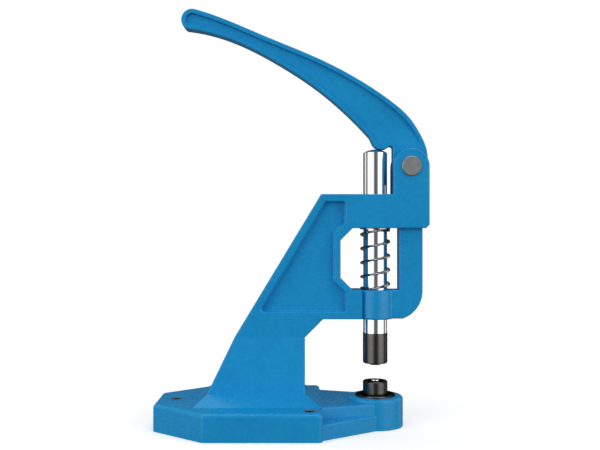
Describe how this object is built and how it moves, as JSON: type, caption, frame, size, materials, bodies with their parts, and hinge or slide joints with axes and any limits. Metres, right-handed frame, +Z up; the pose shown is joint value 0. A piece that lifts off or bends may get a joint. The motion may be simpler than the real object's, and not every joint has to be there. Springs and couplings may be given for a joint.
{
  "type": "hand press",
  "caption": "Bench hand press for eyelets and snaps: cast C-frame on a base plate, long cam lever, sprung round ram, upper and lower dies.",
  "frame": {"origin": "the ram's axis where it meets the bench plane, on the flat underside of the nose", "axes": "+X to the front of the press, +Y to the left-hand side for someone who stands behind the lever's handle and looks to the front, +Z up along the ram"},
  "size_m": [0.1815, 0.0958, 0.2789],
  "materials": {
    "blue_casting": "semi-gloss blue paint over a cast surface",
    "blue_lever": "semi-gloss blue paint over a cast surface",
    "pin_steel": "turned steel, bare",
    "spring_steel": "drawn spring steel, bright",
    "ram_chrome": "ground and chrome plated",
    "die_black": "black oxide on hardened steel"
  },
  "bodies": {
    "frame": {"frame_casting": "blue_casting", "pivot_pin": "pin_steel", "pivot_washer": "pin_steel", "pivot_clip": "spring_steel", "die_seat_bush": "die_black", "lower_die": "die_black", "pilot_plug": "die_black", "pilot_spring": "spring_steel", "die_lock_screw": "die_black", "return_spring": "spring_steel"},
    "lever": {"lever": "blue_lever"},
    "ram": {"ram": "ram_chrome", "ram_snap_ring": "spring_steel", "spring_washer": "spring_steel", "upper_die": "die_black"},
    "pilot": {"pilot_pin": "ram_chrome"}
  },
  "joints": [
    {"name": "lever_hinge", "type": "hinge", "parent": "frame", "child": "lever", "pos_m": [0.0232, 0, 0.1734], "axis": [0, -1, 0], "range_deg": [0, 28.5]},
    {"name": "ram_slide", "type": "slide", "parent": "frame", "child": "ram", "axis": [0, 0, -1], "range_m": [0, 0.0117], "stiffness_N_per_m": 2400, "springref_m": -0.015, "deforming": ["return_spring"]},
    {"name": "pilot_slide", "type": "slide", "parent": "frame", "child": "pilot", "axis": [0, 0, -1], "range_m": [0, 0.002], "stiffness_N_per_m": 400, "springref_m": -0.003, "deforming": ["pilot_spring"]}
  ],
  "couplings": [
    {"joint": "ram_slide", "follows": "lever_hinge", "m_per_rad": 0.02338}
  ]
}
